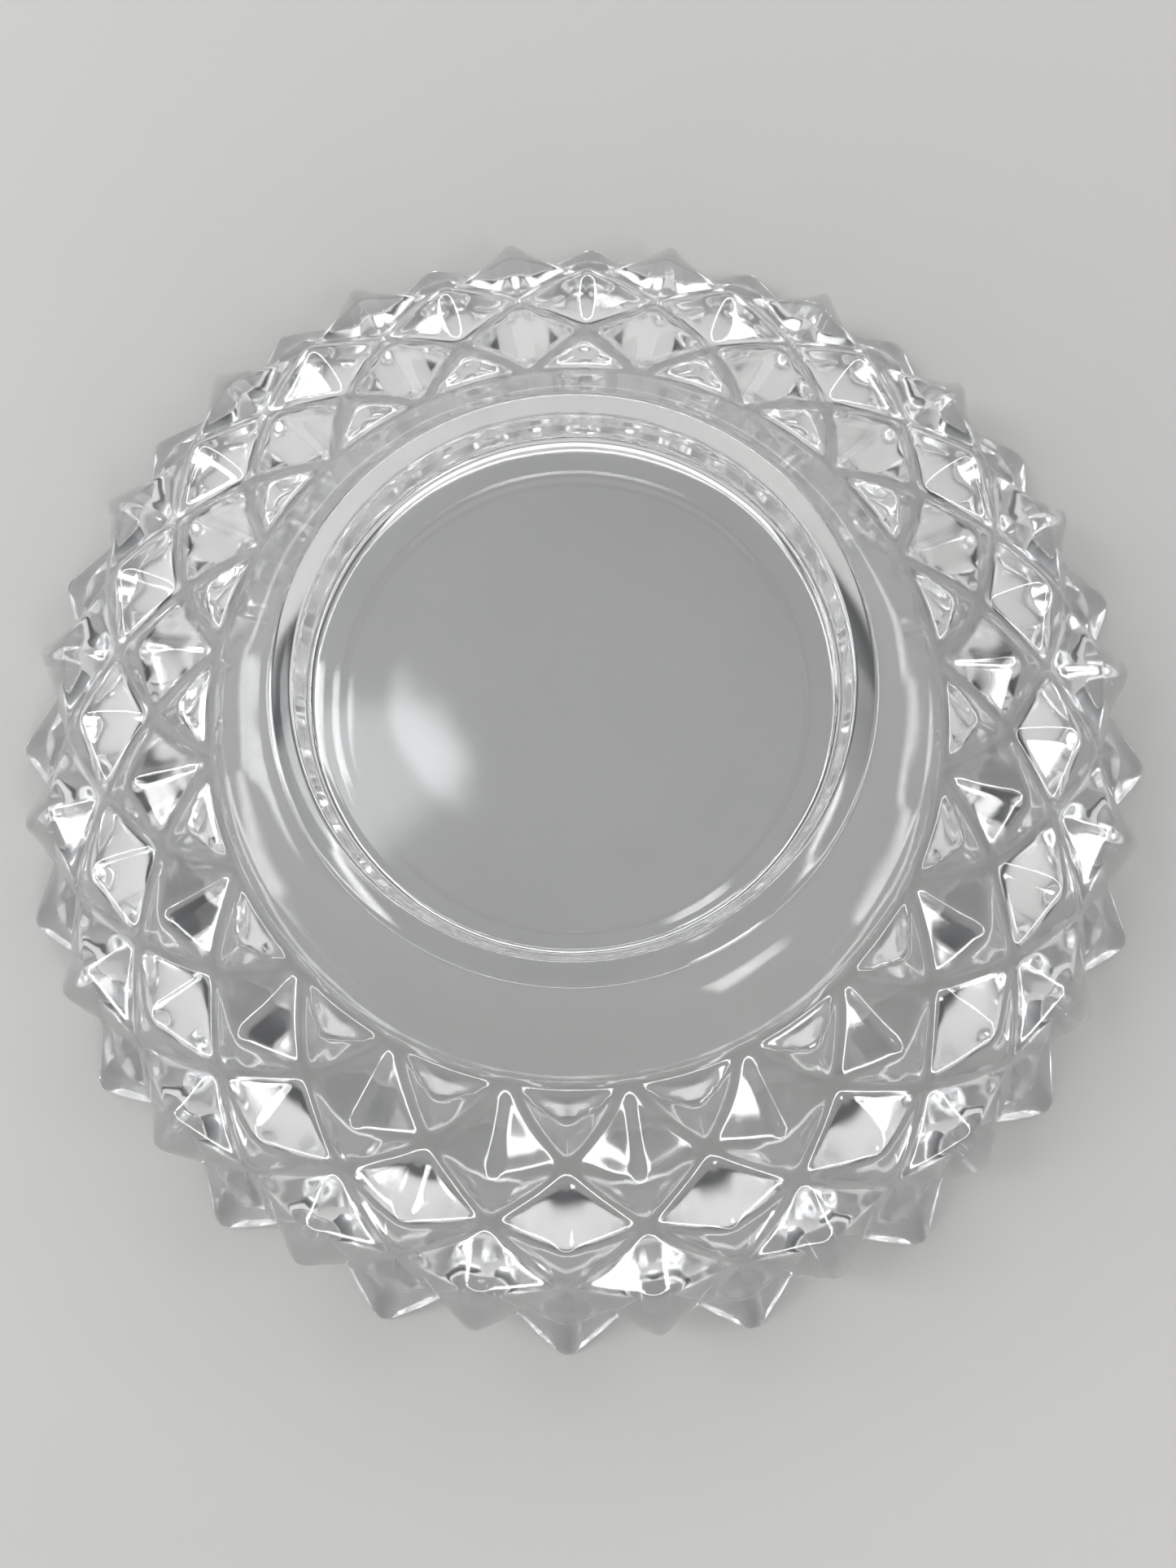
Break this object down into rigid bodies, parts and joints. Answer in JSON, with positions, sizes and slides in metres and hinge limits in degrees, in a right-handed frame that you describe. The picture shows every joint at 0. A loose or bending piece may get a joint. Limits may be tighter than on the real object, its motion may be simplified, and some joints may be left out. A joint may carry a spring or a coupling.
{
  "type": "pressed-glass bowl",
  "caption": "Round clear pressed-glass bowl with diamond-point pattern, saw-tooth rim and recessed foot, lying upside down with the foot on top.",
  "frame": {"origin": "on the bowl's axis, in the plane of the long rim teeth's tips, which the upturned bowl stands on", "axes": "+Z along the bowl's axis, from the rim towards the foot; one long tooth points along each of +X, -X, +Y and -Y"},
  "size_m": [0.2392, 0.2392, 0.068],
  "materials": {
    "clear_glass": "clear, colourless, fire-polished"
  },
  "bodies": {
    "root": {"pressed_glass_bowl": "clear_glass"}
  },
  "joints": []
}
